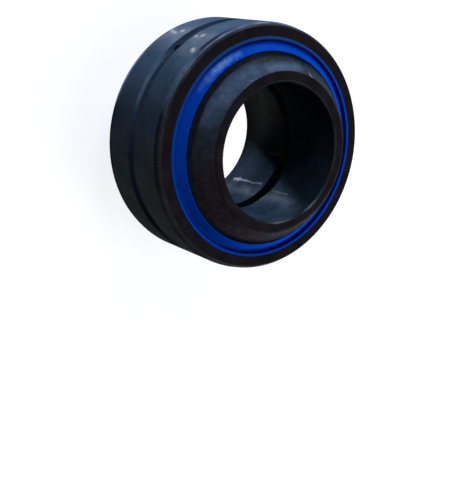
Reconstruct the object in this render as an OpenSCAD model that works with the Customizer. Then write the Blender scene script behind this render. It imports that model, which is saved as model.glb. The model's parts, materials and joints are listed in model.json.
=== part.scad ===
// Spherical plain bearing: a wide, ball-shaped inner ring that turns and tilts in a cracked outer ring,
// with a three-lip seal at each end of the outer ring.
// The bearing axis is Z and the origin is the centre of the ball. All sizes are in millimetres.

/* [Rings] */
// Bore of the inner ring
bore_d = 50; // [30:1:52]
// Outside diameter of the outer ring
outside_d = 90; // [86:1:110]
// Diameter of the ball, the outside of the inner ring
ball_d = 80; // [78:1:84]
// Width of the inner ring
inner_w = 56; // [46:1:58]
// Width of the outer ring
outer_w = 36; // [28:1:42]
// Running clearance between ball and raceway, on the radius
race_clearance = 0.1; // [0.05:0.01:0.3]
// Width of the crack that parts the outer ring at one place
crack_w = 0.12; // [0.05:0.01:0.5]

/* [Corners] */
// Chamfer at each end of the bore
bore_chamfer = 0.7; // [0.4:0.1:1.6]
// Width of the break between the ball and each end face of the inner ring
edge_break = 0.5; // [0.2:0.1:1]
// Length of the shallow lead-in at each end of the outside
lead_in_l = 2; // [1:0.1:4]
// Drop of the lead-in, on the radius
lead_in_drop = 0.4; // [0.2:0.05:0.8]
// Corner chamfer of the outer ring, on the radius
corner_w = 1; // [0.4:0.1:1.5]
// Corner chamfer of the outer ring, along the axis
corner_l = 1.2; // [0.4:0.1:2]

/* [Lubrication] */
// Width of the groove round the outside
outside_groove_w = 5.5; // [4:0.1:8]
// Depth of the groove round the outside
outside_groove_depth = 1.4; // [0.8:0.1:2]
// Width of the groove round the bore
bore_groove_w = 5.5; // [4:0.1:8]
// Depth of the groove round the bore
bore_groove_depth = 1.6; // [0.8:0.1:2.5]
// Slope of the groove flanks, from square to the surface
flank_angle = 25; // [0:1:40]
// Diameter of the lubrication holes
lube_hole_d = 3.5; // [2:0.1:4]
// Lubrication holes in each ring
lube_holes = 2; // [1:1:4]

/* [Seals] */
// Depth of the seat at each end of the outer ring
seat_depth = 4.2; // [3:0.1:5.5]
// Width of the seat's floor, from the raceway to the seat's wall
seat_floor_w = 2.4; // [1.8:0.1:3]
// Gap round the seal in its seat
seal_gap = 0.1; // [0.02:0.01:0.2]
// Width of the rim
rim_w = 1.1; // [0.6:0.1:1.2]
// How far the rim stands out of the outer ring's face
rim_proud = 0.2; // [0:0.05:1]
// Break at the outer edge of the rim
rim_break = 0.2; // [0.05:0.05:0.4]
// Depth of the groove inside the rim, below the outer ring's face
seal_groove_depth = 1; // [0.4:0.1:1.2]
// Width of that groove at its floor
seal_groove_w = 0.7; // [0.3:0.1:0.9]
// Lean of that groove's outer wall
seal_groove_lean = 0.2; // [0:0.05:0.4]
// How far the outer lip stands out of the outer ring's face
lip_proud = 1.7; // [1:0.1:2.5]
// Width of the outer lip's edge
lip_edge_w = 0.35; // [0.2:0.05:0.6]
// Running clearance between the lips and the ball
lip_clearance = 0.12; // [0.05:0.01:0.3]
// Height of the inner lip above the seat's floor
inner_lip_h = 1.4; // [0.8:0.1:1.8]
// Depth of the grease pockets between the lips
pocket_depth = 0.45; // [0.2:0.05:0.6]

/* [Hidden] */
$fn = 180;

STEEL_OUTER = [0.25, 0.28, 0.31];
STEEL_INNER = [0.22, 0.25, 0.28];
SEAL_BLUE = [0.06, 0.33, 0.75];

// A cutter passes this far beyond what it cuts
OVERCUT = 1;

bore_r = bore_d / 2;
outside_r = outside_d / 2;
ball_r = ball_d / 2;
race_r = ball_r + race_clearance;
inner_end = inner_w / 2;
outer_end = outer_w / 2;

// Radius of a ball of radius r at height z above its centre
function reach(r, z) = sqrt(r * r - z * z);

// Where the ball runs out into the inner ring's end faces, and the slope that halves that corner
face_r = reach(ball_r, inner_end);
break_slope = tan(atan2(face_r, inner_end) / 2);

// The seal's seat
seat_z = outer_end - seat_depth;
race_edge_r = reach(race_r, seat_z);
seat_r = race_edge_r + seat_floor_w;

// The seal's section
rim_r = seat_r - seal_gap;
rim_z = outer_end + rim_proud;
rim_inner_r = rim_r - rim_w;
seal_groove_z = outer_end - seal_groove_depth;
seal_groove_r = rim_inner_r - seal_groove_lean;
lip_r = ball_r + lip_clearance;
pocket_r = lip_r + pocket_depth;
outer_lip_z = outer_end + lip_proud;
inner_lip_z = seat_z + inner_lip_h;
middle_lip_z = (outer_lip_z + inner_lip_z) / 2;

// Mirrors a half outline, given from the middle plane up, into a whole one
function both_halves(half) = concat(
    [for (i = [len(half) - 1 : -1 : 0]) [half[i].x, -half[i].y]],
    half
);

// Lubrication groove round the Z axis: w wide where it meets the surface at radius r, with its floor at
// radius floor_r, either inside or outside that surface
module lube_groove(r, floor_r, w) {
    depth = abs(floor_r - r);
    over = sign(r - floor_r) * OVERCUT;
    spread = OVERCUT * tan(flank_angle);
    floor_w = w - 2 * depth * tan(flank_angle);
    rotate_extrude()
        polygon(both_halves([
            [floor_r, floor_w / 2],
            [r + over, w / 2 + spread],
        ]));
}

// Radial lubrication holes from radius r1 to radius r2, the first one at the given angle
module lube_hole_ring(r1, r2, start) {
    for (i = [0 : lube_holes - 1])
        rotate([0, 0, start + i * 360 / lube_holes])
            translate([r1, 0, 0])
                rotate([0, 90, 0])
                    cylinder(d = lube_hole_d, h = r2 - r1);
}

// Outline that gives the ball its end faces and breaks the edges beside them
module inner_ring_blank() {
    run = ball_r;
    rotate_extrude()
        polygon(both_halves([
            [face_r - edge_break + run, inner_end - run * break_slope],
            [face_r - edge_break, inner_end],
            [0, inner_end],
        ]));
}

// Bore with a chamfer at each end
module chamfered_bore() {
    rotate_extrude()
        polygon(both_halves([
            [bore_r, inner_end - bore_chamfer],
            [bore_r + bore_chamfer + OVERCUT, inner_end + OVERCUT],
            [0, inner_end + OVERCUT],
        ]));
}

// Truncated ball with its bore, bore groove and lubrication holes
module inner_ring() {
    color(STEEL_INNER)
        difference() {
            intersection() {
                sphere(r = ball_r);
                inner_ring_blank();
            }
            chamfered_bore();
            lube_groove(bore_r, bore_r + bore_groove_depth, bore_groove_w);
            lube_hole_ring(bore_r, ball_r + OVERCUT, 90);
        }
}

// Turned outline of the outer ring, before the raceway is cut
module outer_ring_blank() {
    lead_z = outer_end - corner_l;
    rotate_extrude()
        polygon(both_halves([
            [outside_r, lead_z - lead_in_l],
            [outside_r - lead_in_drop, lead_z],
            [outside_r - lead_in_drop - corner_w, outer_end],
            [seat_r, outer_end],
            [seat_r, seat_z],
            [race_edge_r - OVERCUT, seat_z],
        ]));
}

// Crack through the ring's wall on the +Y side
module crack() {
    translate([-crack_w / 2, 0, -outer_end - OVERCUT])
        cube([crack_w, outside_r + OVERCUT, outer_w + 2 * OVERCUT]);
}

// Outer ring with its raceway, outside groove, lubrication holes, seal seats and crack
module outer_ring() {
    color(STEEL_OUTER)
        difference() {
            outer_ring_blank();
            sphere(r = race_r);
            lube_groove(outside_r, outside_r - outside_groove_depth, outside_groove_w);
            lube_hole_ring(race_edge_r, outside_r + OVERCUT, 0);
            crack();
        }
}

// Section of the seal: foot, rim, groove, cone up to the outer lip, then the lips and pockets on the ball
function seal_section() = [
    [race_edge_r, seat_z],
    [rim_r, seat_z],
    [rim_r, rim_z - rim_break],
    [rim_r - rim_break, rim_z],
    [rim_inner_r, rim_z],
    [seal_groove_r, seal_groove_z],
    [seal_groove_r - seal_groove_w, seal_groove_z],
    [reach(lip_r, outer_lip_z) + lip_edge_w, outer_lip_z],
    [reach(lip_r, outer_lip_z), outer_lip_z],
    for (pair = [[outer_lip_z, middle_lip_z], [middle_lip_z, inner_lip_z]])
        for (p = [[pocket_r, (pair[0] + pair[1]) / 2], [lip_r, pair[1]]])
            [reach(p[0], p[1]), p[1]],
];

module seal() {
    color(SEAL_BLUE)
        rotate_extrude()
            polygon(seal_section());
}

module upper_seal() {
    seal();
}

module lower_seal() {
    mirror([0, 0, 1])
        seal();
}

inner_ring();
outer_ring();
upper_seal();
lower_seal();
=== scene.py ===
# %% [markdown]
# # A spherical plain bearing
# A wide steel ball with a bore turns and tilts in a steel ring, and a blue lip seal closes the gap at
# each end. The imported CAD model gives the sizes. Here each of its four pieces gets a finer mesh, with the
# small rounded edges that catch the light, and the finish of the real surfaces.

# %% Load the frame
import json
import math

import bmesh
import bpy
from mathutils import Matrix, Vector, noise


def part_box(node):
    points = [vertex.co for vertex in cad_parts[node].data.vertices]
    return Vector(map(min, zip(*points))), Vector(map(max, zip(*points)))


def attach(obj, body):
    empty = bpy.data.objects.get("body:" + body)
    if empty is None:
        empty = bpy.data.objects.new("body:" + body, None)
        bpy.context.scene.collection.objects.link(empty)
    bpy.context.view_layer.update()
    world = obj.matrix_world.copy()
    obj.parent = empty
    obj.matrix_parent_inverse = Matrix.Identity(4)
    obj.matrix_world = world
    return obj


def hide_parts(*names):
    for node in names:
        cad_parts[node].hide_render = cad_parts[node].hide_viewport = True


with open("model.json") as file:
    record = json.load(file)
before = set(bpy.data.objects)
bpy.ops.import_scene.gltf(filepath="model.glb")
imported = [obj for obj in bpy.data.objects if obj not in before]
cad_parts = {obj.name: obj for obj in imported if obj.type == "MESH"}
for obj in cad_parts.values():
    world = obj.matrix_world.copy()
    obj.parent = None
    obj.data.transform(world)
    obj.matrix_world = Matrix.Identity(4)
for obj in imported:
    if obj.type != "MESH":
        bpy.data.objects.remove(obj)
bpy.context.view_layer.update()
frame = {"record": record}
MM = 0.001

# %% [markdown]
# ## Sizes
# A lathe turns these rings on a drawing's radii and heights, so the script thinks in millimetres too.
# What the frame knows is read from it: the mounts give the bore and the outside, and the nodes' boxes give
# the widths. The rest are the small sizes of the grooves, chamfers and lips.

# %% Radii and heights from the frame
mount_radius = {m["name"]: m["dims"].get("r_mm") for m in frame["record"]["mounts"]}


def top_corner(node):
    """The highest x and z of a CAD node in millimetres, to a hundredth."""
    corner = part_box(node)[1]
    return round(corner.x / MM, 2), round(corner.z / MM, 2)


BORE_R = mount_radius["bore"]
OUTSIDE_R = mount_radius["outside"]
BALL_R, INNER_END = top_corner("inner_ring")
OUTER_END = top_corner("outer_ring")[1]
RIM_R, LIP_Z = top_corner("upper_seal")
SEAT_Z = round(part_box("upper_seal")[0].z / MM, 2)
print("bore", BORE_R, "ball", BALL_R, "outside", OUTSIDE_R, "half widths", INNER_END, OUTER_END)
print("seal: rim", RIM_R, "lip at", LIP_Z, "seat at", SEAT_Z)

# %% [markdown]
# ## Outlines with rounded corners
# No machined edge is perfectly sharp, and the thin bright line along an edge is what makes steel look like
# steel. A Bevel modifier could round the edges of the finished mesh. Here the outline itself is rounded
# before it is spun, because then every corner can have its own radius and the arcs stay clean.

# %% Round a closed outline
ARC_STEPS = 4
# A fillet takes at most this share of the sides beside it
FILLET_SHARE = 0.45


def rounded(corners):
    """Closed outline of (r, z, finish), from corners (r, z, fillet radius, finish of the next side)."""
    outline = []
    for i, (r, z, fillet, finish) in enumerate(corners):
        if fillet == 0:
            outline.append((r, z, finish))
            continue
        here = Vector((r, z))
        to_last = Vector(corners[i - 1][:2]) - here
        to_next = Vector(corners[(i + 1) % len(corners)][:2]) - here
        half_angle = to_last.angle(to_next) / 2
        room = FILLET_SHARE * min(to_last.length, to_next.length)
        cut_back = min(fillet / math.tan(half_angle), room)
        start = here + to_last.normalized() * cut_back
        end = here + to_next.normalized() * cut_back
        for step in range(ARC_STEPS + 1):
            t = step / ARC_STEPS
            point = start * (1 - t) ** 2 + here * 2 * t * (1 - t) + end * t ** 2
            outline.append((point.x, point.y, finish))
    return outline


print("corner arcs have", ARC_STEPS, "steps")

# %% [markdown]
# ## Spheres and mirror images
# The ball and the raceway are arcs in the outline, worked out from their radius. Both rings are the same
# about the middle plane, so only the upper half of each outline is written down.

# %% Parts of an outline


def on_sphere(radius, z):
    """Distance from the axis of a point at height z on a sphere round the origin."""
    return math.sqrt(radius * radius - z * z)


def sphere_side(radius, z_from, z_to, finish, steps):
    """Corners along a sphere's side, without the two ends."""
    a, b = math.asin(z_from / radius), math.asin(z_to / radius)
    angles = [a + (b - a) * i / steps for i in range(1, steps)]
    return [(radius * math.cos(x), radius * math.sin(x), 0, finish) for x in angles]


def mirrored(half, middle):
    """A whole outline from its upper half, closed by a side with the finish called middle.

    A side's finish stands at its first end, so in the mirror image it moves to the other end.
    """
    lower = []
    for i in range(len(half) - 1, -1, -1):
        r, z, fillet, _ = half[i]
        lower.append((r, -z, fillet, half[i - 1][3] if i else middle))
    return half + lower


print("the ball runs out at radius", round(on_sphere(BALL_R, INNER_END), 2), "mm")

# %% [markdown]
# ## Spinning an outline
# The real rings are turned, so the mesh is made the same way: the outline is copied round the Z axis and
# neighbouring copies are joined with quads. The Screw modifier does that too, but it can't give each side
# of the outline a finish of its own.

# %% Spin
SPIN_STEPS = 300


def spin(name, outline, finish_names):
    """A ring spun from an outline of (r, z, finish) in millimetres, with a material slot for each finish."""
    count = len(outline)
    points = []
    for k in range(SPIN_STEPS):
        turn = math.tau * k / SPIN_STEPS
        points += [(r * MM * math.cos(turn), r * MM * math.sin(turn), z * MM) for r, z, _ in outline]
    quads = []
    slots = []
    for k in range(SPIN_STEPS):
        here, there = k * count, (k + 1) % SPIN_STEPS * count
        for i in range(count):
            j = (i + 1) % count
            quads.append((here + i, here + j, there + j, there + i))
            slots.append(finish_names.index(outline[i][2]))
    mesh = bpy.data.meshes.new(name)
    mesh.from_pydata(points, [], quads)
    for _ in finish_names:
        mesh.materials.append(None)
    mesh.polygons.foreach_set("material_index", slots)
    shape = bmesh.new()
    shape.from_mesh(mesh)
    bmesh.ops.recalc_face_normals(shape, faces=shape.faces)
    shape.to_mesh(mesh)
    shape.free()
    mesh.shade_smooth()
    ring = bpy.data.objects.new(name, mesh)
    bpy.context.scene.collection.objects.link(ring)
    print(name, "has", len(points), "points and", len(quads), "quads")
    return ring


print("rings are spun in", SPIN_STEPS, "steps")

# %% [markdown]
# ## The ball: the inner ring
# The inner ring is a ball cut flat at both ends and bored through. A groove round the middle of the bore
# takes grease to two holes that lead out to the ball. The outline runs up the bore, across the end face and
# down the ball, and its mirror image makes the other half.

# %% Sizes of the inner ring
BORE_GROOVE_W = 5.5
BORE_GROOVE_DEPTH = 1.6
FLANK_ANGLE = math.radians(25)
BORE_CHAMFER = 0.7
EDGE_BREAK = 0.5
GROOVE_FLOOR_FILLET, GROOVE_EDGE_FILLET = 0.35, 0.2
BREAK_FILLET, FACE_FILLET, BALL_FILLET = 0.25, 0.2, 0.3
BALL_STEPS = 72

break_from = on_sphere(BALL_R, INNER_END) - EDGE_BREAK
break_slope = math.tan(math.atan2(on_sphere(BALL_R, INNER_END), INNER_END) / 2)
# Where the edge break meets the ball: its line is r = break_from + t, z = INNER_END - t * break_slope
a = 1 + break_slope ** 2
b = 2 * (break_from - INNER_END * break_slope)
c = break_from ** 2 + INNER_END ** 2 - BALL_R ** 2
break_run = (-b + math.sqrt(b * b - 4 * a * c)) / (2 * a)
break_z = INNER_END - break_run * break_slope
print("the edge break is", round(break_run, 2), "mm wide")

# %% Inner ring
bore_groove_floor = BORE_R + BORE_GROOVE_DEPTH
bore_groove_foot = BORE_GROOVE_W / 2 - BORE_GROOVE_DEPTH * math.tan(FLANK_ANGLE)
inner_half = [
    (bore_groove_floor, bore_groove_foot, GROOVE_FLOOR_FILLET, "bore_groove"),
    (BORE_R, BORE_GROOVE_W / 2, GROOVE_EDGE_FILLET, "bore"),
    (BORE_R, INNER_END - BORE_CHAMFER, BREAK_FILLET, "bore_chamfer"),
    (BORE_R + BORE_CHAMFER, INNER_END, FACE_FILLET, "end_face"),
    (break_from, INNER_END, BREAK_FILLET, "end_face"),
    (break_from + break_run, break_z, BALL_FILLET, "ball"),
    *sphere_side(BALL_R, break_z, 0.0, "ball", BALL_STEPS),
]
INNER_FINISHES = ["ball", "end_face", "bore", "bore_groove", "bore_chamfer"]
inner_ring = spin("ball_ring", rounded(mirrored(inner_half, "bore_groove")), INNER_FINISHES)

# %% [markdown]
# ## Drilling
# A drill leaves a round hole with a slightly broken edge. The drill is a closed mesh of circles along one
# line, and a Boolean modifier takes it out of the ring. The modifier is then applied, so that the hole is in
# the mesh. The two holes of the inner ring lie a quarter turn from those of the outer ring.

# %% Drills and the cut
DRILL_SIDES = 48


def drill(circles, turn_deg):
    """A drill along a radius, turned about Z, from circles of (radius, distance from the axis)."""
    angles = [math.tau * k / DRILL_SIDES for k in range(DRILL_SIDES)]
    shape = bmesh.new()
    rows = []
    for radius, along in circles:
        circle = [(along * MM, radius * MM * math.cos(x), radius * MM * math.sin(x)) for x in angles]
        rows.append([shape.verts.new(point) for point in circle])
    for low, high in zip(rows, rows[1:]):
        for k in range(DRILL_SIDES):
            n = (k + 1) % DRILL_SIDES
            shape.faces.new((low[k], low[n], high[n], high[k]))
    shape.faces.new(rows[0])
    shape.faces.new(rows[-1])
    bmesh.ops.recalc_face_normals(shape, faces=shape.faces)
    mesh = bpy.data.meshes.new("drill")
    shape.to_mesh(mesh)
    shape.free()
    mesh.transform(Matrix.Rotation(math.radians(turn_deg), 4, "Z"))
    return bpy.data.objects.new("drill", mesh)


def cut(ring, tool, slot):
    """Takes the tool out of the ring. The new faces get the finish in that material slot."""
    tool.data.polygons.foreach_set("material_index", [slot] * len(tool.data.polygons))
    bpy.context.scene.collection.objects.link(tool)
    boolean = ring.modifiers.new("cut", "BOOLEAN")
    boolean.object = tool
    boolean.operation = "DIFFERENCE"
    boolean.solver = "EXACT"
    before = len(ring.data.polygons)
    with bpy.context.temp_override(object=ring, active_object=ring, selected_objects=[ring]):
        bpy.ops.object.modifier_apply(modifier=boolean.name)
    bpy.data.meshes.remove(tool.data)
    print(ring.name, "went from", before, "to", len(ring.data.polygons), "faces")


print("a drill has", DRILL_SIDES, "sides")

# %% Grease holes of the inner ring
HOLE_R = 1.75
HOLE_EDGE = 0.2
OVERCUT = 1.0
BALL_HOLE = [
    (HOLE_R, BORE_R - OVERCUT),
    (HOLE_R, BALL_R - HOLE_EDGE),
    (HOLE_R + HOLE_EDGE + OVERCUT, BALL_R + OVERCUT),
]
for turn_deg in (90, 270):
    cut(inner_ring, drill(BALL_HOLE, turn_deg), INNER_FINISHES.index("bore_groove"))

# %% [markdown]
# ## The outer ring
# The outer ring is a short tube with a hollow ball turned into it. Outside it has a grease groove with two
# holes, a shallow lead-in at each end to help it into its housing, and a small chamfer. Each end has a
# stepped seat for a seal. The edge between lead-in and chamfer is worn, so it gets a strip of its own.

# %% Sizes of the outer ring
RACE_CLEARANCE = 0.1
OUTSIDE_GROOVE_W = 5.5
OUTSIDE_GROOVE_DEPTH = 1.4
LEAD_IN_L, LEAD_IN_DROP = 2.0, 0.4
CORNER_W, CORNER_L = 1.0, 1.2
# The worn strip starts after this share of the lead-in and ends after this share of the corner
WORN_FROM, WORN_TO = 0.8, 0.3
SEAL_GAP = 0.1
LEAD_IN_FILLET, WORN_FILLET, CORNER_FILLET = 0.3, 0.35, 0.3
SEAT_EDGE_FILLET, SEAT_FLOOR_FILLET = 0.12, 0.1
RACE_STEPS = 24

race_r = BALL_R + RACE_CLEARANCE
race_edge_r = on_sphere(race_r, SEAT_Z)
seat_r = RIM_R + SEAL_GAP
print("raceway of radius", race_r, "mm, seal seats of radius", seat_r, "mm")

# %% Outer ring
outside_groove_floor = OUTSIDE_R - OUTSIDE_GROOVE_DEPTH
outside_groove_foot = OUTSIDE_GROOVE_W / 2 - OUTSIDE_GROOVE_DEPTH * math.tan(FLANK_ANGLE)
lead_z = OUTER_END - CORNER_L
lead_r = OUTSIDE_R - LEAD_IN_DROP
outer_half = [
    (outside_groove_floor, outside_groove_foot, GROOVE_FLOOR_FILLET, "groove_flank"),
    (OUTSIDE_R, OUTSIDE_GROOVE_W / 2, GROOVE_EDGE_FILLET, "outside"),
    (OUTSIDE_R, lead_z - LEAD_IN_L, LEAD_IN_FILLET, "lead_in"),
    (OUTSIDE_R - WORN_FROM * LEAD_IN_DROP, lead_z - (1 - WORN_FROM) * LEAD_IN_L, 0, "worn_edge"),
    (lead_r, lead_z, WORN_FILLET, "worn_edge"),
    (lead_r - WORN_TO * CORNER_W, lead_z + WORN_TO * CORNER_L, 0, "corner"),
    (lead_r - CORNER_W, OUTER_END, CORNER_FILLET, "end_face"),
    (seat_r, OUTER_END, SEAT_EDGE_FILLET, "race"),
    (seat_r, SEAT_Z, SEAT_FLOOR_FILLET, "race"),
    (race_edge_r, SEAT_Z, 0, "race"),
    *sphere_side(race_r, SEAT_Z, 0.0, "race", RACE_STEPS),
]
OUTER_FINISHES = [
    "outside", "outside_groove", "groove_flank", "lead_in", "worn_edge", "corner", "end_face", "race",
    "bore_groove",
]
outer_ring = spin("outer_ring_turned", rounded(mirrored(outer_half, "outside_groove")), OUTER_FINISHES)

# %% Grease holes of the outer ring
# The edge break is wide here, where the drill went in, and ends just above the groove's floor
RING_HOLE_EDGE = 0.5
ABOVE_FLOOR = 0.05
RING_HOLE = [
    (HOLE_R, BALL_R - OVERCUT),
    (HOLE_R, outside_groove_floor - RING_HOLE_EDGE),
    (HOLE_R + RING_HOLE_EDGE, outside_groove_floor + ABOVE_FLOOR),
    (HOLE_R + RING_HOLE_EDGE, OUTSIDE_R + OVERCUT),
]
for turn_deg in (0, 180):
    cut(outer_ring, drill(RING_HOLE, turn_deg), OUTER_FINISHES.index("bore_groove"))

# %% [markdown]
# ## The crack
# The ball can't be pushed into a whole ring, so the hardened ring is cracked open at one place and springs
# shut again. A break in hard steel wanders, so the blade that cuts it here is a thin sheet bent by noise. It
# reaches through the wall of the ring on the +Y side and nowhere else.

# %% Crack
CRACK_W = 0.16
CRACK_SLANT = -0.32
CRACK_WANDER = 0.3
CRACK_GRAIN = 1.6
BLADE_STEP = 0.45


def crack_blade(r_from, r_to, z_end):
    """A thin, bent sheet along +Y, between two radii and from -z_end to z_end."""
    rows = round((r_to - r_from) / BLADE_STEP)
    columns = round(2 * z_end / BLADE_STEP)
    shape = bmesh.new()
    sheets = []
    for side in (-0.5, 0.5):
        sheet = []
        for i in range(rows + 1):
            y = r_from + (r_to - r_from) * i / rows
            for j in range(columns + 1):
                z = -z_end + 2 * z_end * j / columns
                wander = CRACK_WANDER * noise.noise(Vector((y, z, 0)) / CRACK_GRAIN)
                x = CRACK_SLANT * (OUTSIDE_R - y) + wander + side * CRACK_W
                sheet.append(shape.verts.new((x * MM, y * MM, z * MM)))
        sheets.append(sheet)
    width = columns + 1
    for sheet in sheets:
        for i in range(rows):
            for j in range(columns):
                k = i * width + j
                shape.faces.new((sheet[k], sheet[k + 1], sheet[k + width + 1], sheet[k + width]))
    rim = list(range(columns)) + [i * width + columns for i in range(rows)]
    rim += [rows * width + j for j in range(columns, 0, -1)] + [i * width for i in range(rows, 0, -1)]
    for k, n in zip(rim, rim[1:] + rim[:1]):
        shape.faces.new((sheets[0][k], sheets[0][n], sheets[1][n], sheets[1][k]))
    bmesh.ops.recalc_face_normals(shape, faces=shape.faces)
    mesh = bpy.data.meshes.new("crack_blade")
    shape.to_mesh(mesh)
    shape.free()
    return bpy.data.objects.new("crack_blade", mesh)


blade = crack_blade(race_edge_r - OVERCUT, OUTSIDE_R + OVERCUT, OUTER_END + OVERCUT)
cut(outer_ring, blade, OUTER_FINISHES.index("race"))

# %% [markdown]
# ## The seals
# Each seal is moulded rubber-like plastic. From outside to inside it has a flat rim, a narrow groove and a
# cone that rises to a lip on the ball. Two more lips hide under the first one, with a pocket of grease
# between each pair. Soft moulded edges are rounder than turned ones, so their radii are larger for their
# size.

# %% Sizes of the seals
RIM_W, RIM_PROUD, RIM_BREAK = 1.1, 0.2, 0.2
SEAL_GROOVE_DEPTH, SEAL_GROOVE_W, SEAL_GROOVE_LEAN = 1.0, 0.7, 0.2
LIP_EDGE_W = 0.35
LIP_CLEARANCE = 0.12
POCKET_DEPTH = 0.45
INNER_LIP_H = 1.4
FOOT_FILLET, FOOT_EDGE_FILLET = 0.1, 0.15
RIM_SIDE_FILLET, RIM_TOP_FILLET, RIM_INNER_FILLET = 0.15, 0.2, 0.18
SEAL_GROOVE_FILLET, CONE_FOOT_FILLET = 0.2, 0.25
LIP_FILLET, LIP_TIP_FILLET, INNER_LIP_FILLET, POCKET_FILLET = 0.14, 0.06, 0.08, 0.3

lip_ball_r = BALL_R + LIP_CLEARANCE
pocket_ball_r = lip_ball_r + POCKET_DEPTH
lip_r = on_sphere(lip_ball_r, LIP_Z)
print("the outer lip has a radius of", round(lip_r, 2), "mm")

# %% Lips and pockets on the ball
inner_lip_z = SEAT_Z + INNER_LIP_H
middle_lip_z = (LIP_Z + inner_lip_z) / 2
lip_corners = []
for above, lip_z in ((LIP_Z, middle_lip_z), (middle_lip_z, inner_lip_z)):
    pocket_z = (above + lip_z) / 2
    lip_corners.append((on_sphere(pocket_ball_r, pocket_z), pocket_z, POCKET_FILLET, "seal"))
    lip_corners.append((on_sphere(lip_ball_r, lip_z), lip_z, INNER_LIP_FILLET, "seal"))
print("inner lips at", round(middle_lip_z, 2), "and", round(inner_lip_z, 2), "mm")

# %% Seals
rim_z = OUTER_END + RIM_PROUD
rim_inner_r = RIM_R - RIM_W
seal_groove_z = OUTER_END - SEAL_GROOVE_DEPTH
seal_groove_r = rim_inner_r - SEAL_GROOVE_LEAN
seal_corners = [
    (race_edge_r, SEAT_Z, FOOT_FILLET, "seal"),
    (RIM_R, SEAT_Z, FOOT_EDGE_FILLET, "seal"),
    (RIM_R, rim_z - RIM_BREAK, RIM_SIDE_FILLET, "seal_rim"),
    (RIM_R - RIM_BREAK, rim_z, RIM_TOP_FILLET, "seal_rim"),
    (rim_inner_r, rim_z, RIM_INNER_FILLET, "seal_groove"),
    (seal_groove_r, seal_groove_z, SEAL_GROOVE_FILLET, "seal_groove"),
    (seal_groove_r - SEAL_GROOVE_W, seal_groove_z, CONE_FOOT_FILLET, "seal"),
    (lip_r + LIP_EDGE_W, LIP_Z, LIP_FILLET, "seal"),
    (lip_r, LIP_Z, LIP_TIP_FILLET, "seal"),
    *lip_corners,
]
SEAL_FINISHES = ["seal", "seal_groove", "seal_rim"]
upper_seal = spin("upper_seal_moulded", rounded(seal_corners), SEAL_FINISHES)
lower_corners = [(r, -z, fillet, finish) for r, z, fillet, finish in seal_corners]
lower_seal = spin("lower_seal_moulded", rounded(lower_corners), SEAL_FINISHES)

# %% [markdown]
# ## Colours and nodes
# Colours are written as sRGB hex values, as a colour picker shows them, and the shaders work with linear
# light, so one function converts them. Another adds a node, sets it and links it, which keeps each material
# short.

# %% Helpers for the materials


def linear(hex_colour):
    """An sRGB hex colour as linear RGBA."""
    parts = [int(hex_colour[i:i + 2], 16) / 255 for i in (1, 3, 5)]
    return (*[x / 12.92 if x <= 0.04045 else ((x + 0.055) / 1.055) ** 2.4 for x in parts], 1.0)


def add(tree, kind, sockets=(), **settings):
    """Adds a node with its settings. Each socket, by name or number, gets a value or a node's output."""
    made = tree.nodes.new(kind)
    for name, value in settings.items():
        setattr(made, name, value)
    for key, value in dict(sockets).items():
        if isinstance(value, bpy.types.NodeSocket):
            tree.links.new(value, made.inputs[key])
        else:
            made.inputs[key].default_value = value
    return made


def start_finish(name, **sockets):
    """A new material with a Principled shader, and the sockets that are the same all over the surface."""
    material = bpy.data.materials.new(name)
    material.use_nodes = True
    shader = material.node_tree.nodes["Principled BSDF"]
    for key, value in sockets.items():
        shader.inputs[key.replace("_", " ")].default_value = value
    return material, material.node_tree, shader


def per_mm(size):
    """Texture scale at which one grain of a pattern is this many millimetres across."""
    return 1 / (size * MM)


finishes = {}
print("white is", linear("#ffffff"), "and mid grey is", [round(x, 3) for x in linear("#808080")])

# %% [markdown]
# ## Phosphated steel
# The rings are hardened bearing steel with a black phosphate coat, soaked in oil. The coat is a layer of
# tiny dark crystals and not bare metal, so it is a dull slate colour with no mirror of its own. All the
# shine comes from the oil, which lies on it as a thin film. So the base has no specular reflection, and the
# shader's coat layer, with the oil's IOR, is laid on thinly. Patches and grain vary the tone and the amount
# of oil, and faint rings are left from grinding.

# %% Phosphate under oil
OIL_IOR = 1.47
CRYSTAL_ROUGHNESS = 0.6
# Noise on this scale across the axis, and at full scale along it, lies in rings
ACROSS_AXIS = 0.02
# Patches and grain add up to about 1, and over this range the tone goes from dark to light
TONE_FROM, TONE_TO = 0.75, 1.25
# The oil is from half to one and a half times as thick over this range of the patches
PATCH_FROM, PATCH_TO = 0.3, 0.7
LEAST_FILM, MOST_FILM = 0.5, 1.5
RELIEF = 0.6


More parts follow.
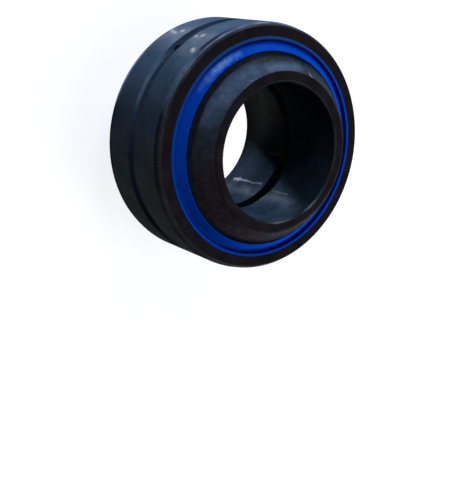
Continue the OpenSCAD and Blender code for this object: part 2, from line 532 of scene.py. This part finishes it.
def phosphate(name, dark, light, oil, oil_roughness, skin):
    """Dark crystals between two tones under a film of oil, with fine grinding rings in relief.

    The skin is the size of the rings, patches and grain, and the depth of the relief, in millimetres.
    """
    rings_mm, patch_mm, grain_mm, bump_mm = skin
    material, tree, shader = start_finish(
        name, Specular_IOR_Level=0.0, Roughness=CRYSTAL_ROUGHNESS, Coat_IOR=OIL_IOR,
        Coat_Roughness=oil_roughness,
    )
    place = add(tree, "ShaderNodeTexCoord").outputs["Object"]
    patches = add(tree, "ShaderNodeTexNoise", {
        "Vector": place, "Scale": per_mm(patch_mm), "Detail": 4.0,
    }).outputs["Fac"]
    grain = add(tree, "ShaderNodeTexNoise", {
        "Vector": place, "Scale": per_mm(grain_mm), "Detail": 2.0,
    }).outputs["Fac"]
    drawn_out = add(tree, "ShaderNodeMapping", {"Vector": place, "Scale": (ACROSS_AXIS, ACROSS_AXIS, 1.0)})
    rings = add(tree, "ShaderNodeTexNoise", {
        "Vector": drawn_out.outputs[0], "Scale": per_mm(rings_mm), "Detail": 1.0,
    }).outputs["Fac"]
    tone = add(tree, "ShaderNodeMath", {0: patches, 1: grain}, operation="ADD").outputs[0]
    spread = add(tree, "ShaderNodeMapRange", {"Value": tone, "From Min": TONE_FROM, "From Max": TONE_TO})
    colour = add(tree, "ShaderNodeMix", {
        0: spread.outputs[0], 6: linear(dark), 7: linear(light),
    }, data_type="RGBA")
    film = add(tree, "ShaderNodeMapRange", {
        "Value": patches, "From Min": PATCH_FROM, "From Max": PATCH_TO,
        "To Min": LEAST_FILM * oil, "To Max": MOST_FILM * oil,
    })
    height = add(tree, "ShaderNodeMath", {0: grain, 1: rings}, operation="ADD").outputs[0]
    bump = add(tree, "ShaderNodeBump", {"Height": height, "Distance": bump_mm * MM, "Strength": RELIEF})
    tree.links.new(colour.outputs[2], shader.inputs["Base Color"])
    tree.links.new(film.outputs[0], shader.inputs["Coat Weight"])
    tree.links.new(bump.outputs[0], shader.inputs["Normal"])
    tree.links.new(bump.outputs[0], shader.inputs["Coat Normal"])
    return material


print("oil of IOR", OIL_IOR)

# %% [markdown]
# ## One finish for each surface
# All these surfaces have the same coat, but each was ground, worn and oiled in its own way. A table keeps
# them side by side: the two tones, the amount of oil, the oil's roughness and the skin. Real grinding rings
# are a few hundredths of a millimetre apart. They are drawn about ten times as coarse, so that they show.

# %% Steel finishes
GROUND_SKIN = (0.5, 9, 0.7, 0.02)
EDGE_SKIN = (0.5, 9, 0.7, 0.01)
BALL_SKIN = (0.6, 2.0, 0.8, 0.01)
RACE_SKIN = (0.6, 7, 0.8, 0.01)
BORE_SKIN = (0.5, 5, 0.9, 0.015)
SHADED_HOLLOW_SKIN = (0.5, 5, 0.9, 0.02)
FACE_SKIN = (0.4, 6, 0.5, 0.01)
STEEL_FINISHES = [
    # Wide and almost dry: an even slate colour with hardly any shine
    ("outside", "phosphated_steel_outside", "#3a4a58", "#4a5c6c", 0.015, 0.4, GROUND_SKIN),
    # Sheltered from rubbing: the same slate, a shade lighter and oilier
    ("outside_groove", "phosphated_steel_groove", "#3c4b5a", "#4d5e70", 0.05, 0.4, GROUND_SKIN),
    # Steep sides: a darker slate, painted as shade
    ("groove_flank", "phosphated_steel_groove_flank", "#323e4a", "#404e5c", 0.03, 0.4, GROUND_SKIN),
    # Painted nearly black, as shade on the lead-in, so that the painted highlights on it stand out
    ("lead_in", "phosphated_steel_lead_in", "#1b232b", "#262f38", 0.03, 0.35, EDGE_SKIN),
    # Smoothed by wear: dark, with a narrow gleam
    ("worn_edge", "phosphated_steel_worn_edge", "#262e37", "#323c46", 0.08, 0.2, EDGE_SKIN),
    # A chamfer wet with oil: brown-black with a clear gloss
    ("corner", "phosphated_steel_corner", "#272526", "#363234", 0.2, 0.25, EDGE_SKIN),
    # Ground fine and wiped by the lips: blue-black with a soft gloss and a mottled film
    ("ball", "phosphated_steel_ball", "#29313b", "#35404c", 0.11, 0.24, BALL_SKIN),
    # Hidden behind the seals: black and oily
    ("race", "phosphated_steel_raceway", "#22282f", "#2f3740", 0.15, 0.28, RACE_SKIN),
    # Almost dry: dark blue-grey without shine
    ("bore", "phosphated_steel_bore", "#1d2931", "#283843", 0.012, 0.35, BORE_SKIN),
    # A chamfer wet with oil: a thin bright line where a lamp meets it
    ("bore_chamfer", "phosphated_steel_bore_chamfer", "#191b20", "#22252b", 0.3, 0.2, EDGE_SKIN),
    # Painted shade in the bore's groove and in the holes: black
    ("bore_groove", "painted_shade_in_bore_groove", "#08090b", "#0e1013", 0.05, 0.4, SHADED_HOLLOW_SKIN),
    # Turned and not ground: dull brown-black
    ("end_face", "phosphated_steel_end_face", "#1d1819", "#262022", 0.04, 0.4, FACE_SKIN),
]
for finish, name, dark, light, oil, oil_roughness, skin in STEEL_FINISHES:
    finishes[finish] = phosphate(name, dark, light, oil, oil_roughness, skin)
print("made", sorted(material.name for material in finishes.values()))

# %% [markdown]
# ## Painted marks
# Light and shade are painted at certain places: sheen, glints and highlights, and patches of shade, beside
# one real dark spot. Such marks lie at certain places, so they can't come from noise alone. Each one here is
# a short line on the surface, and a mask measures how far a point is from it. Noise bends the lines, and
# round cells make them patchy.

# %% Masks for marks
WOBBLE_MM = 2.0
WOBBLE_GRAIN_MM = 2.5
# Noise is about a half on average, so that is how far it moves everything
NOISE_MEAN = Vector([WOBBLE_MM / 2] * 3)


def surface_point(reach, turn_deg, z):
    """A point in millimetres on a surface of radius reach(z)."""
    turn = math.radians(turn_deg)
    return Vector((reach(z) * math.cos(turn), reach(z) * math.sin(turn), z))


def marks(tree, reach, lines, cell_mm, cover):
    """A mask of short lines (azimuth, height, azimuth, height, half width, strength) on a surface.

    Cells of that size make them patchy, and cover is how far each cell's middle reaches.
    """
    place = add(tree, "ShaderNodeTexCoord").outputs["Object"]
    wobble = add(tree, "ShaderNodeTexNoise", {
        "Vector": place, "Scale": per_mm(WOBBLE_GRAIN_MM), "Detail": 3.0,
    }).outputs["Color"]
    bent = add(tree, "ShaderNodeVectorMath", {
        0: wobble, 1: [WOBBLE_MM * MM] * 3, 2: place,
    }, operation="MULTIPLY_ADD").outputs[0]
    mask = None
    for turn_from, z_from, turn_to, z_to, half_width, strength in lines:
        start = (surface_point(reach, turn_from, z_from) + NOISE_MEAN) * MM
        along = (surface_point(reach, turn_to, z_to) + NOISE_MEAN) * MM - start
        offset = add(tree, "ShaderNodeVectorMath", {0: bent, 1: start}, operation="SUBTRACT").outputs[0]
        share = add(tree, "ShaderNodeVectorMath", {
            0: offset, 1: along / along.length_squared,
        }, operation="DOT_PRODUCT").outputs["Value"]
        share = add(tree, "ShaderNodeClamp", {"Value": share}).outputs[0]
        foot = add(tree, "ShaderNodeVectorMath", {0: along, "Scale": share}, operation="SCALE").outputs[0]
        gap = add(tree, "ShaderNodeVectorMath", {0: offset, 1: foot}, operation="DISTANCE").outputs["Value"]
        line = add(tree, "ShaderNodeMapRange", {
            "Value": gap, "From Max": half_width * MM, "To Min": strength, "To Max": 0.0,
        }).outputs[0]
        if mask is not None:
            line = add(tree, "ShaderNodeMath", {0: mask, 1: line}, operation="MAXIMUM").outputs[0]
        mask = line
    cells = add(tree, "ShaderNodeTexVoronoi", {"Vector": place, "Scale": per_mm(cell_mm)})
    patchy = add(tree, "ShaderNodeMapRange", {
        "Value": cells.outputs["Distance"], "From Max": cover, "To Min": 1.0, "To Max": 0.0,
    }).outputs[0]
    return add(tree, "ShaderNodeMath", {0: mask, 1: patchy}, operation="MULTIPLY").outputs[0]


def lay_over(material, mask, hex_colour):
    """Lays another colour over a finish where the mask is 1."""
    tree = material.node_tree
    base = tree.nodes["Principled BSDF"].inputs["Base Color"]
    under = base.links[0].from_socket
    mixed = add(tree, "ShaderNodeMix", {0: mask, 6: under, 7: linear(hex_colour)}, data_type="RGBA")
    tree.links.new(mixed.outputs[2], base)


print("marks bend by up to", WOBBLE_MM / 2, "mm either way")

# %% [markdown]
# ## Where the marks are
# The outside has a painted sheen with painted glints in it, and one dark spot. The ball has a painted sheen
# and a painted highlight, painted shade beside the lip on one side, and painted glints at its edge. The bore
# has painted light on its far wall, painted shade on its near wall and painted highlight streaks. Azimuths
# are in degrees and the other numbers in millimetres, apart from the strength.

# %% Lines of the marks
# Painted sheen on the outside, where a lamp's gloss would fall
PAINTED_SHEEN_OUTSIDE = [
    (-9.8, -16.5, -7.6, -9.2, 4.4, 0.45),
    (-9.9, -7.0, -10.3, -4.8, 3.8, 0.45),
    (-7.0, 4.0, -5.6, 8.4, 4.0, 0.5),
    (-7.8, 8.7, -8.4, 11.8, 3.6, 0.4),
    (2.4, 11.0, 2.9, 13.1, 2.6, 0.4),
    (2.0, 5.0, 5.0, 9.0, 2.4, 0.25),
]
# Painted glints in the painted sheen
PAINTED_GLINTS_OUTSIDE = [
    (-10.6, -16.6, -9.9, -15.6, 1.2, 0.7),
    (-9.4, -14.5, -7.7, -9.2, 0.9, 0.4),
    (-10.0, -8.0, -9.6, -7.0, 1.2, 0.7),
    (-7.4, 4.0, -6.6, 5.2, 0.9, 0.5),
    (-8.3, 7.3, -7.9, 8.1, 1.2, 0.7),
    (2.1, 11.5, 2.8, 12.6, 1.3, 0.7),
]
DARK_OUTSIDE = [(7.4, 7.2, 8.2, 8.0, 0.7, 0.8)]
# Painted sheen on the ball, and a painted highlight in the last line
PAINTED_SHEEN_BALL = [
    (28, 23.0, 8, 24.4, 6.0, 0.75),
    (8, 24.4, -14, 25.2, 6.0, 0.9),
    (-26, 26.0, -50, 25.8, 3.4, 0.9),
]
# Painted shade on the ball beside the lip, on one side
PAINTED_SHADE_BALL = [
    (-8, 21.0, -22, 21.5, 3.0, 0.6),
    (-22, 21.5, -37, 21.8, 3.5, 0.8),
    (-37, 21.8, -60, 22.0, 3.5, 0.8),
]
# Painted glints at the ball's edge
PAINTED_GLINTS_BALL = [
    (-11.2, 27.4, -7.1, 27.2, 0.9, 0.5),
    (-7.1, 27.2, 0.3, 27.5, 0.5, 0.4),
    (-59.4, 26.4, -61.1, 27.6, 0.9, 0.8),
]
# Painted light on the bore's far wall
PAINTED_LIGHT_BORE = [(-85, -10.0, -120, -16.0, 13.0, 1.0), (-120, -16.0, -158, -21.0, 12.0, 1.0)]
# Painted shade on the bore's near wall
PAINTED_SHADE_BORE = [(-135, 10.0, -158, 14.0, 11.0, 0.8)]
# Painted highlight streaks in the bore
PAINTED_HIGHLIGHTS_BORE = [
    (-177.7, -21.4, -177.2, -18.8, 1.2, 1.0),
    (-177.2, -18.8, -176.0, -13.5, 0.9, 0.6),
    (-176.0, -13.5, -174.5, -4.7, 0.7, 0.3),
    (-178.1, 4.1, -176.9, 12.2, 0.6, 0.14),
    (-143.5, -10.9, -143.7, -3.8, 0.6, 0.6),
]
print(len(PAINTED_SHEEN_OUTSIDE), "hazy places on the outside and", len(PAINTED_HIGHLIGHTS_BORE), "smears in the bore")

# %% Marks on the steel
REACH = {
    "outside": lambda z: OUTSIDE_R,
    "ball": lambda z: on_sphere(BALL_R, z),
    "bore": lambda z: BORE_R,
}
# These colours paint sheen, glints, light, shade and highlights, all but the real dark spot on the outside
for finish, lines, cell_mm, cover, hex_colour in (
    ("outside", PAINTED_SHEEN_OUTSIDE, 1.2, 1.2, "#8b8c7e"),
    ("outside", PAINTED_GLINTS_OUTSIDE, 2.0, 2.0, "#f2eedc"),
    ("outside", DARK_OUTSIDE, 1.5, 2.0, "#141a20"),
    ("ball", PAINTED_SHEEN_BALL, 2.0, 2.0, "#667c96"),
    ("ball", PAINTED_SHADE_BALL, 2.0, 2.0, "#12181f"),
    ("ball", PAINTED_GLINTS_BALL, 0.7, 0.8, "#c9d2e0"),
    ("bore", PAINTED_LIGHT_BORE, 2.0, 2.0, "#4c5964"),
    ("bore", PAINTED_SHADE_BORE, 2.0, 2.0, "#090c10"),
    ("bore", PAINTED_HIGHLIGHTS_BORE, 0.9, 1.5, "#f4f8ff"),
):
    material = finishes[finish]
    lay_over(material, marks(material.node_tree, REACH[finish], lines, cell_mm, cover), hex_colour)
    print(len(lines), "marks on", material.name)

# %% [markdown]
# ## One side lit or shaded
# Painted highlights make the worn edge, the lead-in and the groove's sides lighter on one side each, and a
# painted dark, warm reflection makes one side of the ball browner. A point's side is the level direction
# from the axis to it, and the dot product with the side's own direction says how near it is. Noise keeps the
# painted light uneven.

# %% Masks by side
UNEVEN_GRAIN_MM = 3
# Noise is scaled from this range, which holds most of its values
UNEVEN_FROM, UNEVEN_TO = 0.35, 0.6
# Multiplied by this, a place loses its height
LEVEL = (1.0, 1.0, 0.0)


def outwards(tree):
    """The level direction from the bearing's axis to a point, of length 1."""
    place = add(tree, "ShaderNodeTexCoord").outputs["Object"]
    flat = add(tree, "ShaderNodeVectorMath", {0: place, 1: LEVEL}, operation="MULTIPLY").outputs[0]
    return add(tree, "ShaderNodeVectorMath", {0: flat}, operation="NORMALIZE").outputs[0]


def on_side(tree, azimuth_deg, none_deg, full_deg, least):
    """A mask of one side of a ring: 1 up to full_deg either side of the azimuth, and 0 from none_deg on.

    Noise takes it down to the least share in places.
    """
    turn = math.radians(azimuth_deg)
    nearness = add(tree, "ShaderNodeVectorMath", {
        0: outwards(tree), 1: (math.cos(turn), math.sin(turn), 0.0),
    }, operation="DOT_PRODUCT").outputs["Value"]
    none, full = (math.cos(math.radians(x)) for x in (none_deg, full_deg))
    side = add(tree, "ShaderNodeMapRange", {
        "Value": nearness, "From Min": none, "From Max": full,
    }).outputs[0]
    place = add(tree, "ShaderNodeTexCoord").outputs["Object"]
    uneven = add(tree, "ShaderNodeTexNoise", {
        "Vector": place, "Scale": per_mm(UNEVEN_GRAIN_MM), "Detail": 3.0,
    }).outputs["Fac"]
    share = add(tree, "ShaderNodeMapRange", {
        "Value": uneven, "From Min": UNEVEN_FROM, "From Max": UNEVEN_TO, "To Min": least,
    }).outputs[0]
    return add(tree, "ShaderNodeMath", {0: side, 1: share}, operation="MULTIPLY").outputs[0]


for finish, azimuth_deg, none_deg, full_deg, least, hex_colour in (
    # Painted highlight on the worn edge
    ("worn_edge", -25, 68, 20, 0.4, "#8193aa"),
    # Painted highlights on the lead-in, at two places
    ("lead_in", 18, 18, 5, 0.7, "#71869a"),
    ("lead_in", -45, 38, 5, 0.7, "#5f7187"),
    # Painted highlight on the groove's sides
    ("groove_flank", 20, 18, 5, 0.7, "#71869a"),
    # Painted dark, warm reflection on one side of the ball
    ("ball", 98, 65, 25, 0.8, "#2e2129"),
):
    material = finishes[finish]
    lay_over(material, on_side(material.node_tree, azimuth_deg, none_deg, full_deg, least), hex_colour)
    print(material.name, "changes round", azimuth_deg, "degrees")

# %% [markdown]
# ## Painted shade beside the lips
# A dark band is painted on the ball beside the outer lip, as shade. On the ball that is a band by height,
# the same above and below, with an edge that wanders a little.

# %% Painted shade band
SHADE_BAND_TO_Z = 22.0
SHADE_BAND_EDGE = 0.6
SHADE_BAND_WANDER = 1.5
SHADE_BAND_GRAIN_MM = 9
ball = finishes["ball"]
tree = ball.node_tree
place = add(tree, "ShaderNodeTexCoord").outputs["Object"]
wander = add(tree, "ShaderNodeTexNoise", {
    "Vector": place, "Scale": per_mm(SHADE_BAND_GRAIN_MM), "Detail": 3.0,
}).outputs["Fac"]
height = add(tree, "ShaderNodeSeparateXYZ", {0: place}).outputs["Z"]
height = add(tree, "ShaderNodeMath", {0: height}, operation="ABSOLUTE").outputs[0]
height = add(tree, "ShaderNodeMath", {
    0: wander, 1: -SHADE_BAND_WANDER * MM, 2: height,
}, operation="MULTIPLY_ADD").outputs[0]
# The noise takes half of the wander off the height on average
band_end = (SHADE_BAND_TO_Z - SHADE_BAND_WANDER / 2) * MM
band = add(tree, "ShaderNodeMapRange", {
    "Value": height, "From Min": band_end - SHADE_BAND_EDGE * MM, "From Max": band_end,
    "To Min": 1.0, "To Max": 0.0,
}).outputs[0]
# Painted shade beside the lip
lay_over(ball, band, "#10161b")
print("grease up to", SHADE_BAND_TO_Z, "mm from the middle")

# %% [markdown]
# ## Moulded elastomer
# The seals are moulded from a blue polyester elastomer, half way between rubber and plastic. It has a strong
# even colour, and so matt a skin that its shine hardly shows. Fine lines across the cone, left by the mould,
# give it a grain. The real lines are finer, and are drawn this coarse so that they show.

# %% Blue elastomer
ELASTOMER_IOR, ELASTOMER_SPECULAR = 1.5, 0.01
SMOOTHEST, ROUGHEST = 0.3, 0.5
CLOUD_MM = 5
SKIN_MM = 0.5
MOULD_LINE_MM = 0.65
MOULD_LINE_SHARE = 0.4
SKIN_DEPTH_MM = 0.01


def mould_lines(tree):
    """Fine lines across the ring, as a wave from -1 to 1 round the axis."""
    place = add(tree, "ShaderNodeTexCoord").outputs["Object"]
    turn_share = add(tree, "ShaderNodeTexGradient", {
        "Vector": place,
    }, gradient_type="RADIAL").outputs["Fac"]
    count = round(math.tau * RIM_R / MOULD_LINE_MM)
    turns = add(tree, "ShaderNodeMath", {
        0: turn_share, 1: math.tau * count,
    }, operation="MULTIPLY").outputs[0]
    return add(tree, "ShaderNodeMath", {0: turns}, operation="SINE").outputs[0]


def elastomer(name, dark, light):
    """Moulded blue elastomer between two tones, with fine lines across the ring."""
    material, tree, shader = start_finish(name, IOR=ELASTOMER_IOR, Specular_IOR_Level=ELASTOMER_SPECULAR)
    place = add(tree, "ShaderNodeTexCoord").outputs["Object"]
    cloud = add(tree, "ShaderNodeTexNoise", {
        "Vector": place, "Scale": per_mm(CLOUD_MM), "Detail": 3.0,
    }).outputs["Fac"]
    skin = add(tree, "ShaderNodeTexNoise", {
        "Vector": place, "Scale": per_mm(SKIN_MM), "Detail": 2.0,
    }).outputs["Fac"]
    colour = add(tree, "ShaderNodeMix", {0: cloud, 6: linear(dark), 7: linear(light)}, data_type="RGBA")
    matt = add(tree, "ShaderNodeMapRange", {"Value": skin, "To Min": SMOOTHEST, "To Max": ROUGHEST})
    height = add(tree, "ShaderNodeMath", {
        0: mould_lines(tree), 1: MOULD_LINE_SHARE, 2: skin,
    }, operation="MULTIPLY_ADD").outputs[0]
    bump = add(tree, "ShaderNodeBump", {
        "Height": height, "Distance": SKIN_DEPTH_MM * MM, "Strength": RELIEF,
    })
    tree.links.new(colour.outputs[2], shader.inputs["Base Color"])
    tree.links.new(matt.outputs[0], shader.inputs["Roughness"])
    tree.links.new(bump.outputs[0], shader.inputs["Normal"])
    return material


finishes["seal"] = elastomer("moulded_blue_elastomer", "#0246b8", "#0458d0")
# Painted shade in the narrow groove: a dark blue line
finishes["seal_groove"] = elastomer("moulded_blue_elastomer_in_groove", "#021f6c", "#03287c")
# The same blue as the cone, until a painted sheen is laid over it
finishes["seal_rim"] = elastomer("moulded_blue_elastomer_rim", "#0246b8", "#0458d0")
print("made", [finishes[finish].name for finish in SEAL_FINISHES])

# %% [markdown]
# ## Painted sheen and glint on the seal
# A painted sheen makes the rim greyer on one side, and a painted glint makes the cone light and streaky in
# one place. The streaks are noise that changes round the axis only, and lines along the cone say where they
# show.

# %% Painted sheen on the rim and painted glint on the cone
# Azimuth, where the painted sheen ends and where it is full, in degrees, and its least share
RIM_SHEEN = (-35, 75, 25, 0.8)
CONE_MIDDLE_R, CONE_MIDDLE_Z = 36.6, 18.3
STREAK_MM = 0.5
STREAK_FROM, STREAK_TO, LEAST_STREAK = 0.4, 0.65, 0.5
CONE_GLINT_CELL_MM, CONE_GLINT_COVER = 1.5, 2.0
# From azimuth to azimuth, with half width and strength
CONE_GLINT = [(16, 10, 1.6, 0.2), (10, 4, 1.8, 0.5), (4, -8, 1.8, 1.0), (-8, -15, 1.8, 0.5)]

rim = finishes["seal_rim"]
# Painted sheen on one side of the rim
lay_over(rim, on_side(rim.node_tree, *RIM_SHEEN), "#274e86")
seal = finishes["seal"]
tree = seal.node_tree
streaks = add(tree, "ShaderNodeTexNoise", {
    "Vector": outwards(tree), "Scale": CONE_MIDDLE_R / STREAK_MM, "Detail": 2.0,
}).outputs["Fac"]
streaks = add(tree, "ShaderNodeMapRange", {
    "Value": streaks, "From Min": STREAK_FROM, "From Max": STREAK_TO, "To Min": LEAST_STREAK,
}).outputs[0]
cone_glint_lines = [(a, CONE_MIDDLE_Z, b, CONE_MIDDLE_Z, width, strength) for a, b, width, strength in CONE_GLINT]
cone_glint_mask = marks(tree, lambda z: CONE_MIDDLE_R, cone_glint_lines, CONE_GLINT_CELL_MM, CONE_GLINT_COVER)
cone_glint_mask = add(tree, "ShaderNodeMath", {0: streaks, 1: cone_glint_mask}, operation="MULTIPLY").outputs[0]
# Painted glint on the cone
lay_over(seal, cone_glint_mask, "#a0d0f8")
print("scuffed the cone from", CONE_GLINT[0][0], "to", CONE_GLINT[-1][1], "degrees")

# %% [markdown]
# ## Onto the bodies
# Each piece stands for a CAD node, which is hidden, takes its finishes from the table of finishes and rides
# on the same body. The table also gives the node's slot in the record, which the loop does not use. A
# Weighted Normal modifier keeps the flat faces flat to the eye beside their small rounded edges.

# %% Finish and ride
SHARP_ANGLE = math.radians(35)
PIECES = [
    (inner_ring, INNER_FINISHES, "inner_ring", "inner", "ball_steel"),
    (outer_ring, OUTER_FINISHES, "outer_ring", "outer", "ring_steel"),
    (upper_seal, SEAL_FINISHES, "upper_seal", "outer", "seal_elastomer"),
    (lower_seal, SEAL_FINISHES, "lower_seal", "outer", "seal_elastomer"),
]
for piece, finish_names, node_name, body, slot in PIECES:
    for i, finish in enumerate(finish_names):
        piece.data.materials[i] = finishes[finish]
    piece.data.set_sharp_from_angle(angle=SHARP_ANGLE)
    weighted = piece.modifiers.new("flat_faces", "WEIGHTED_NORMAL")
    weighted.keep_sharp = True
    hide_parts(node_name)
    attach(piece, body)
    print(piece.name, "rides on", body, "with", len(piece.data.polygons), "faces")

# %% [markdown]
# ## Camera
# The camera was found by fitting the rings' edges in the photograph, which is 471 by 504 pixels. It looks
# down on one end of the bearing from the side, and it is rolled, because in the photograph the bearing
# stands on its rim.

# %% Camera
IMAGE_W, IMAGE_H = 471, 504
FOCAL_PX = 992.7
SENSOR_MM = 36.0
AZIMUTH_DEG, ELEVATION_DEG = 28.60, 51.13
ROLL = math.radians(-111.97)
BALL_IN_CAMERA = Vector((0.21, 41.48, -373.1)) * MM


def direction(azimuth_deg, elevation_deg):
    """The unit vector from the ball's centre towards an azimuth and elevation."""
    a, e = math.radians(azimuth_deg), math.radians(elevation_deg)
    return Vector((math.cos(e) * math.cos(a), math.cos(e) * math.sin(a), math.sin(e)))


back = direction(AZIMUTH_DEG, ELEVATION_DEG)
level_right = Vector((0, 0, 1)).cross(back).normalized()
level_up = back.cross(level_right)
up = level_up * math.cos(ROLL) + level_right * math.sin(ROLL)
right = up.cross(back)
view_turn = Matrix((right, up, back)).transposed()
camera_data = bpy.data.cameras.new("camera")
camera_data.sensor_width = SENSOR_MM
camera_data.lens = FOCAL_PX / max(IMAGE_W, IMAGE_H) * SENSOR_MM
camera = bpy.data.objects.new("camera", camera_data)
camera.matrix_world = Matrix.Translation(-(view_turn @ BALL_IN_CAMERA)) @ view_turn.to_4x4()
bpy.context.scene.collection.objects.link(camera)
bpy.context.scene.camera = camera
camera_mm = [round(x / MM, 1) for x in camera.location]
print("camera at", camera_mm, "mm, lens", round(camera_data.lens, 1), "mm")

# %% [markdown]
# ## Floor
# The bearing stands on one end face on a sheet of white paper, as on a light table. Lamps under the sheet
# shine through it, so it casts no shadow itself. The sheet glows for rays from the camera and for shiny
# reflections, so that it is white while the lamps stay at a plain level. It glows less beside the bearing
# than inside its bore and far away, so that a shadow shows there.

# %% Floor
FLOOR_HALF = 3.0
FLOOR_CORNERS = [(-1, -1), (1, -1), (1, 1), (-1, 1)]
floor_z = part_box("inner_ring")[0].z
floor_points = [(x * FLOOR_HALF, y * FLOOR_HALF, floor_z) for x, y in FLOOR_CORNERS]
floor_mesh = bpy.data.meshes.new("floor")
floor_mesh.from_pydata(floor_points, [], [(0, 1, 2, 3)])
floor = bpy.data.objects.new("floor", floor_mesh)
bpy.context.scene.collection.objects.link(floor)
floor.visible_shadow = False
print("floor at", round(floor_z / MM, 1), "mm")

# %% Glowing paper
# Beside the bearing and far from it: the glow, and the distance from the axis in metres
NEAR_GLOW, NEAR = 0.84, 0.12
FAR_GLOW, FAR = 1.0, 0.5
# The paper's shade for the light that it throws on the bearing, and its shade as it is seen
PAPER_FOR_LIGHT, PAPER_AS_SEEN = "#525252", "#b4b4b4"
PAPER_ROUGHNESS = 0.9


def seen_directly(tree):
    """1 for rays from the camera, shiny reflections and rays through glass, and 0 for diffuse light."""
    path = add(tree, "ShaderNodeLightPath").outputs
    seen = add(tree, "ShaderNodeMath", {
        0: path["Is Camera Ray"], 1: path["Is Glossy Ray"],
    }, operation="MAXIMUM").outputs[0]
    return add(tree, "ShaderNodeMath", {
        0: seen, 1: path["Is Transmission Ray"],
    }, operation="MAXIMUM").outputs[0]


# Uncoated paper: plain white, with no shine at all
paper, tree, shader = start_finish(
    "matt_white_paper", Roughness=PAPER_ROUGHNESS, Specular_IOR_Level=0.0,
    Emission_Color=linear("#ffffff"),
)
seen = seen_directly(tree)
shade = add(tree, "ShaderNodeMix", {
    0: seen, 6: linear(PAPER_FOR_LIGHT), 7: linear(PAPER_AS_SEEN),
}, data_type="RGBA")
place = add(tree, "ShaderNodeTexCoord").outputs["Object"]
flat = add(tree, "ShaderNodeVectorMath", {0: place, 1: LEVEL}, operation="MULTIPLY").outputs[0]
distance = add(tree, "ShaderNodeVectorMath", {0: flat}, operation="LENGTH").outputs["Value"]
in_the_bore = add(tree, "ShaderNodeMath", {
    0: distance, 1: (BORE_R + BORE_CHAMFER) * MM,
}, operation="LESS_THAN").outputs[0]
glow = add(tree, "ShaderNodeMapRange", {
    "Value": distance, "From Min": NEAR, "From Max": FAR, "To Min": NEAR_GLOW, "To Max": FAR_GLOW,
}).outputs[0]
glow = add(tree, "ShaderNodeMath", {0: glow, 1: in_the_bore}, operation="MAXIMUM").outputs[0]
glow = add(tree, "ShaderNodeMath", {0: seen, 1: glow}, operation="MULTIPLY").outputs[0]
tree.links.new(shade.outputs[2], shader.inputs["Base Color"])
tree.links.new(glow, shader.inputs["Emission Strength"])
floor_mesh.materials.append(paper)
print("paper glows from", NEAR_GLOW, "to", FAR_GLOW)

# %% [markdown]
# ## Background and light
# The world is white to look at and in reflections, and gives hardly any light itself. The main lamp is under
# the sheet, so that its light comes up through the bore and leaves the near side dark, as in the photograph.
# Soft lamps round about fill in the rest.

# %% World
WORLD_FILL = 0.02
world = bpy.data.worlds.new("studio")
world.use_nodes = True
bpy.context.scene.world = world
tree = world.node_tree
strength = add(tree, "ShaderNodeMapRange", {
    "Value": seen_directly(tree), "To Min": WORLD_FILL, "To Max": 1.0,
}).outputs[0]
background = tree.nodes["Background"]
background.inputs["Color"].default_value = linear("#ffffff")
tree.links.new(strength, background.inputs["Strength"])
print("the world fills in with", WORLD_FILL)

# %% Lamps


def softbox(name, azimuth_deg, elevation_deg, distance, width, height, radiance, colour):
    """An area lamp that faces the bearing. Sizes are in metres, and radiance 1 is like white paper."""
    lamp = bpy.data.lights.new(name, "AREA")
    lamp.shape = "RECTANGLE"
    lamp.size, lamp.size_y = width, height
    lamp.energy = radiance * math.pi * width * height
    lamp.color = linear(colour)[:3]
    box = bpy.data.objects.new(name, lamp)
    box.location = direction(azimuth_deg, elevation_deg) * distance
    box.rotation_euler = box.location.to_track_quat("Z", "Y").to_euler()
    box.visible_camera = False
    bpy.context.scene.collection.objects.link(box)
    print(name, "of", round(lamp.energy, 2), "W")


softbox("table_lamp", -48, -52, 0.7, 0.06, 0.06, 740.0, "#d4e2ff")
softbox("left_table_lamp", 110, -30, 0.8, 0.3, 0.3, 4.4, "#ffdcb4")
softbox("side_softbox", -66, 10, 0.7, 0.4, 0.26, 6.0, "#d4e2ff")
softbox("high_softbox", -30, 38, 0.7, 0.2, 0.2, 9.0, "#d4e2ff")
softbox("front_lamp", -3, 24, 0.7, 0.1, 0.1, 16.0, "#d4e2ff")
softbox("overhead_softbox", -140, 74, 0.8, 0.34, 0.34, 4.5, "#e4ecff")
softbox("back_softbox", 200, 10, 0.9, 0.5, 0.3, 15.0, "#e4ecff")

# %% [markdown]
# ## View
# The Standard view shows colours as they are written.

# %% Finish
bpy.context.scene.view_settings.view_transform = "Standard"
